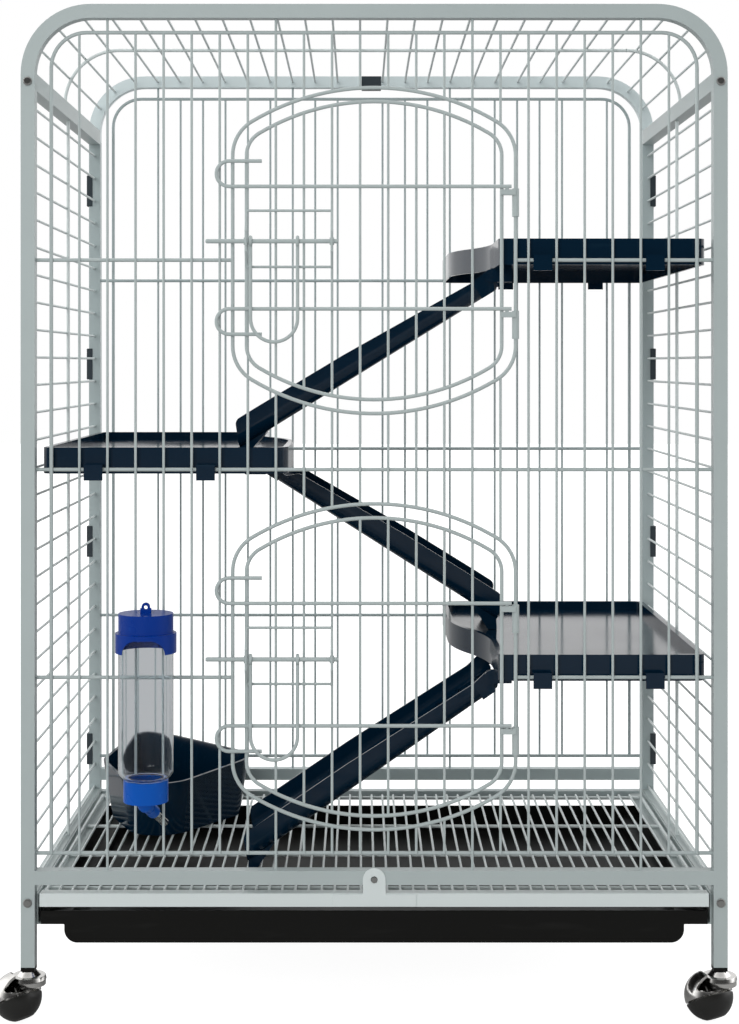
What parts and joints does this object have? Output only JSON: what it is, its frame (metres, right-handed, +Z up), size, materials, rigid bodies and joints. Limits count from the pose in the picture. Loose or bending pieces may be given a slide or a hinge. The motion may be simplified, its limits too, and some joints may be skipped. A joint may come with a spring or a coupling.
{
  "type": "ferret cage",
  "caption": "Tall wire ferret cage on ball casters, with latched arched doors, moulded platforms joined by ramps, a litter pan, a pull-out grid and tray, and a water bottle.",
  "frame": {"origin": "on the floor under the middle of the part's bounding box", "axes": "+Z up, +X to the right seen from the front, +Y to the back; the doors, the tray and the bottle face -Y"},
  "size_m": [0.6906, 0.5108, 0.92],
  "materials": {
    "powder_grey": "satin powder coat",
    "powder_teal": "satin powder coat, in shade",
    "bolt_steel": "zinc plated",
    "dark_clip": "satin",
    "black_plastic": "semi-gloss",
    "navy_plastic": "glossy moulded",
    "tray_black": "semi-gloss moulded",
    "blue_plastic": "glossy moulded",
    "clear_plastic": "clear",
    "polished_steel": "polished",
    "hood_grey": "satin"
  },
  "bodies": {
    "cage": {"front_posts": "powder_grey", "back_posts": "powder_teal", "front_arch": "powder_grey", "back_arch": "powder_teal", "tube_joiners": "bolt_steel", "side_top_rails": "powder_grey", "side_low_rails": "powder_grey", "tray_runners": "powder_grey", "grid_runners": "powder_grey", "front_rail": "powder_grey", "back_rails": "powder_teal", "frame_bolts": "bolt_steel", "grid_lock_stud": "bolt_steel", "leg_plugs": "black_plastic", "canopy_mesh": "powder_grey", "left_side_mesh": "powder_grey", "right_side_mesh": "powder_grey", "back_mesh": "powder_teal", "front_border": "powder_grey", "front_mesh_left": "powder_grey", "front_mesh_right": "powder_grey", "front_mesh_middle": "powder_grey", "upper_door_ring": "powder_grey", "lower_door_ring": "powder_grey", "panel_clips": "dark_clip", "top_platform": "navy_plastic", "middle_platform": "navy_plastic", "low_platform": "navy_plastic", "bottle_bracket": "blue_plastic", "bottle_clamp_nut": "blue_plastic", "caster_cups": "polished_steel"},
    "upper_door": {"upper_door": "powder_grey"},
    "upper_latch": {"upper_latch_rod": "powder_grey"},
    "upper_handle": {"upper_latch_handle": "powder_grey"},
    "lower_door": {"lower_door": "powder_grey"},
    "lower_latch": {"lower_latch_rod": "powder_grey"},
    "lower_handle": {"lower_latch_handle": "powder_grey"},
    "top_ramp": {"top_ramp": "navy_plastic"},
    "middle_ramp": {"middle_ramp": "navy_plastic"},
    "low_ramp": {"low_ramp": "navy_plastic"},
    "grid": {"floor_grid": "powder_grey", "grid_bar": "powder_grey", "grid_lock_tab": "powder_grey"},
    "tray": {"tray": "tray_black"},
    "pan": {"litter_pan": "navy_plastic"},
    "bottle": {"water_bottle": "clear_plastic", "bottle_cap": "blue_plastic", "sipper_tube": "polished_steel"},
    "ball": {"sipper_ball": "polished_steel"},
    "caster_fl": {"caster_hood_fl": "hood_grey"},
    "wheel_fl": {"caster_wheel_fl": "black_plastic"},
    "caster_fr": {"caster_hood_fr": "hood_grey"},
    "wheel_fr": {"caster_wheel_fr": "black_plastic"},
    "caster_bl": {"caster_hood_bl": "hood_grey"},
    "wheel_bl": {"caster_wheel_bl": "black_plastic"},
    "caster_br": {"caster_hood_br": "hood_grey"},
    "wheel_br": {"caster_wheel_br": "black_plastic"}
  },
  "joints": [
    {"name": "upper_door_hinge", "type": "hinge", "parent": "cage", "child": "upper_door", "pos_m": [0.1285, -0.19859, 0.697], "axis": [0, 0, 1], "range_deg": [0, 144]},
    {"name": "upper_latch_slide", "type": "slide", "parent": "upper_door", "child": "upper_latch", "axis": [1, 0, 0], "range_m": [0, 0.027]},
    {"name": "upper_handle_swing", "type": "hinge", "parent": "upper_latch", "child": "upper_handle", "pos_m": [-0.09055, -0.20709, 0.705], "axis": [-1, 0, 0], "range_deg": [0, 100]},
    {"name": "lower_door_hinge", "type": "hinge", "parent": "cage", "child": "lower_door", "pos_m": [0.1285, -0.19859, 0.319], "axis": [0, 0, 1], "range_deg": [0, 144]},
    {"name": "lower_latch_slide", "type": "slide", "parent": "lower_door", "child": "lower_latch", "axis": [1, 0, 0], "range_m": [0, 0.027]},
    {"name": "lower_handle_swing", "type": "hinge", "parent": "lower_latch", "child": "lower_handle", "pos_m": [-0.09055, -0.20709, 0.327], "axis": [-1, 0, 0], "range_deg": [0, 100]},
    {"name": "top_ramp_hinge", "type": "hinge", "parent": "cage", "child": "top_ramp", "pos_m": [0.11065, -0.07109, 0.6775], "axis": [0, 1, 0], "range_deg": [0, 28]},
    {"name": "middle_ramp_hinge", "type": "hinge", "parent": "cage", "child": "middle_ramp", "pos_m": [-0.11065, 0.07371, 0.487], "axis": [0, -1, 0], "range_deg": [0, 28]},
    {"name": "low_ramp_hinge", "type": "hinge", "parent": "cage", "child": "low_ramp", "pos_m": [0.11065, -0.07109, 0.298], "axis": [0, 1, 0], "range_deg": [0, 32]},
    {"name": "grid_slide", "type": "slide", "parent": "cage", "child": "grid", "axis": [0, -1, 0], "range_m": [0, 0.36]},
    {"name": "tray_slide", "type": "slide", "parent": "cage", "child": "tray", "axis": [0, -1, 0], "range_m": [0, 0.38]},
    {"name": "pan_lift", "type": "slide", "parent": "cage", "child": "pan", "axis": [0, 0, 1], "range_m": [0, 0.1]},
    {"name": "bottle_slide", "type": "slide", "parent": "cage", "child": "bottle", "axis": [0, 0, -1], "range_m": [0, 0.025]},
    {"name": "ball_push", "type": "slide", "parent": "bottle", "child": "ball", "axis": [-0.1959, -0.8547, 0.4808], "range_m": [0, 0.0015]},
    {"name": "caster_fl_swivel", "type": "hinge", "parent": "cage", "child": "caster_fl", "pos_m": [-0.31365, -0.19859, 0.032], "axis": [0, 0, 1], "continuous": true},
    {"name": "wheel_fl_roll", "type": "hinge", "parent": "caster_fl", "child": "wheel_fl", "pos_m": [-0.32284, -0.20495, 0.022], "axis": [0.3536, -0.3536, -0.866], "continuous": true},
    {"name": "caster_fr_swivel", "type": "hinge", "parent": "cage", "child": "caster_fr", "pos_m": [0.31365, -0.19859, 0.032], "axis": [0, 0, 1], "continuous": true},
    {"name": "wheel_fr_roll", "type": "hinge", "parent": "caster_fr", "child": "wheel_fr", "pos_m": [0.30312, -0.20235, 0.022], "axis": [0.25, -0.433, -0.866], "continuous": true},
    {"name": "caster_bl_swivel", "type": "hinge", "parent": "cage", "child": "caster_bl", "pos_m": [-0.31365, 0.22871, 0.032], "axis": [0, 0, 1], "continuous": true},
    {"name": "wheel_bl_roll", "type": "hinge", "parent": "caster_bl", "child": "wheel_bl", "pos_m": [-0.30247, 0.22865, 0.022], "axis": [-0.0868, 0.4924, -0.866], "continuous": true},
    {"name": "caster_br_swivel", "type": "hinge", "parent": "cage", "child": "caster_br", "pos_m": [0.31365, 0.22871, 0.032], "axis": [0, 0, 1], "continuous": true},
    {"name": "wheel_br_roll", "type": "hinge", "parent": "caster_br", "child": "wheel_br", "pos_m": [0.32381, 0.23339, 0.022], "axis": [-0.2868, 0.4096, -0.866], "continuous": true}
  ]
}
